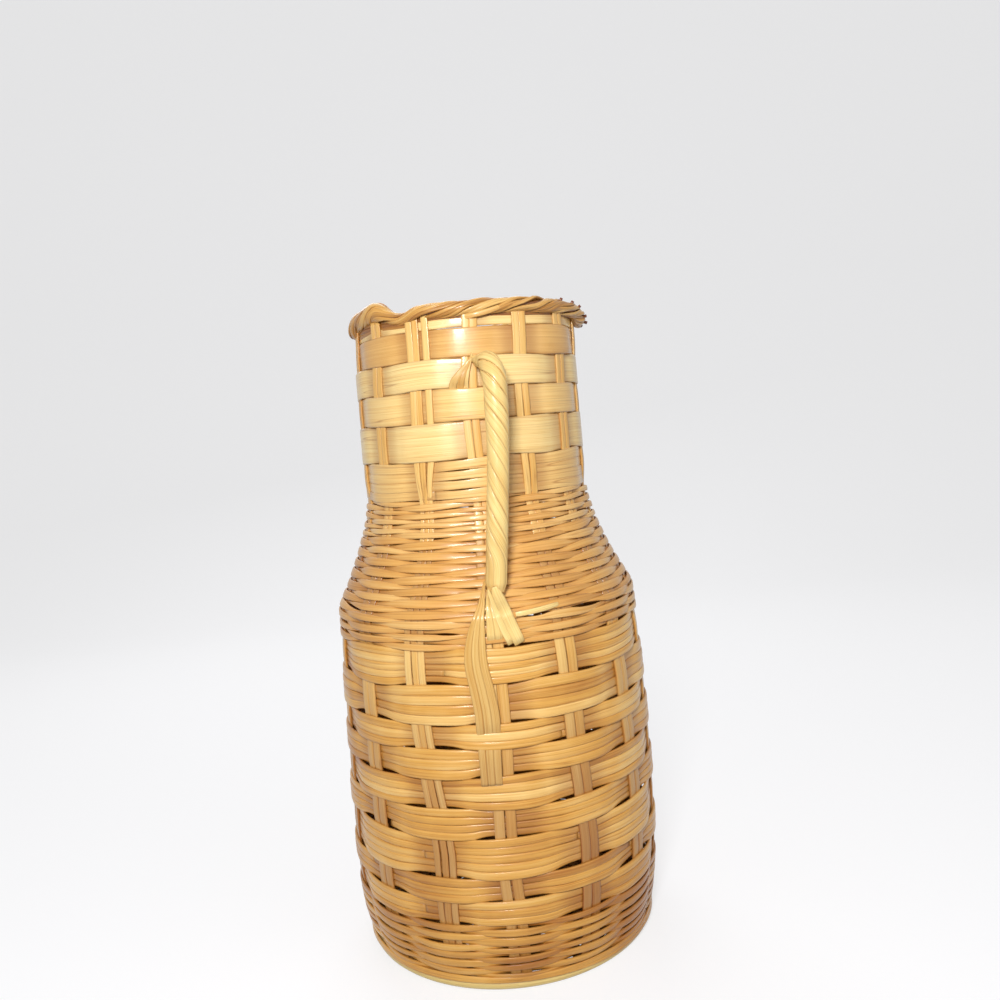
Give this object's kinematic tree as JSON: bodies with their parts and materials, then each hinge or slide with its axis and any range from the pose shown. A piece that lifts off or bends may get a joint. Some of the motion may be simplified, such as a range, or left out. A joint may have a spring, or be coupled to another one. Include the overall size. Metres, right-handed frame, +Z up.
{
  "type": "wicker umbrella basket",
  "caption": "Tall jug-shaped wicker basket with a narrow neck, a twisted rim with a small lip and one wrapped side handle; holds umbrellas or sticks upright.",
  "frame": {"origin": "on the floor under the middle of the basket", "axes": "+Z up, the handle faces -Y, the lip is towards -X"},
  "size_m": [0.2394, 0.2419, 0.4818],
  "materials": {
    "body_reed": "split reed, honey gold, satin varnish",
    "fine_reed": "fine round reed, golden brown, satin varnish",
    "neck_splint": "flat splint, pale straw, glossy varnish",
    "stake_reed": "flat reed, straw, satin varnish",
    "rim_reed": "twisted reed, golden brown, satin varnish",
    "foot_cane": "round cane, pale yellow, glossy",
    "floor_reed": "flat reed, unvarnished straw brown",
    "handle_reed": "flat reed wrapping, straw, satin varnish"
  },
  "bodies": {
    "root": {"foot_row_1": "body_reed", "foot_row_2": "body_reed", "foot_row_3": "body_reed", "foot_row_4": "body_reed", "foot_row_5": "body_reed", "foot_row_6": "body_reed", "body_row_1": "body_reed", "body_row_2": "body_reed", "body_row_3": "body_reed", "body_row_4": "body_reed", "body_row_5": "body_reed", "body_row_6": "body_reed", "body_row_7": "body_reed", "body_row_8": "body_reed", "body_row_9": "body_reed", "shoulder_row_1": "fine_reed", "shoulder_row_2": "fine_reed", "shoulder_row_3": "fine_reed", "shoulder_row_4": "fine_reed", "shoulder_row_5": "fine_reed", "shoulder_row_6": "fine_reed", "shoulder_row_7": "fine_reed", "shoulder_row_8": "fine_reed", "shoulder_row_9": "fine_reed", "shoulder_row_10": "fine_reed", "shoulder_row_11": "fine_reed", "throat_row_1": "fine_reed", "throat_row_2": "fine_reed", "throat_row_3": "fine_reed", "neck_row_1": "neck_splint", "neck_row_2": "neck_splint", "neck_row_3": "neck_splint", "neck_row_4": "neck_splint", "neck_row_5": "neck_splint", "neck_row_6": "neck_splint", "stake_01": "stake_reed", "stake_02": "stake_reed", "stake_03": "stake_reed", "stake_04": "stake_reed", "stake_05": "stake_reed", "stake_06": "stake_reed", "stake_07": "stake_reed", "stake_08": "stake_reed", "stake_09": "stake_reed", "stake_10": "stake_reed", "stake_11": "stake_reed", "stake_12": "stake_reed", "stake_13": "stake_reed", "stake_14": "stake_reed", "foot_hoop": "foot_cane", "base_spokes": "floor_reed", "base_weave": "floor_reed", "rim_strand_1": "rim_reed", "rim_strand_2": "rim_reed", "handle_core": "handle_reed", "handle_strand_1": "handle_reed", "handle_strand_2": "handle_reed", "handle_strand_3": "handle_reed", "handle_tail_left": "handle_reed", "handle_tail_right": "handle_reed"}
  },
  "joints": []
}
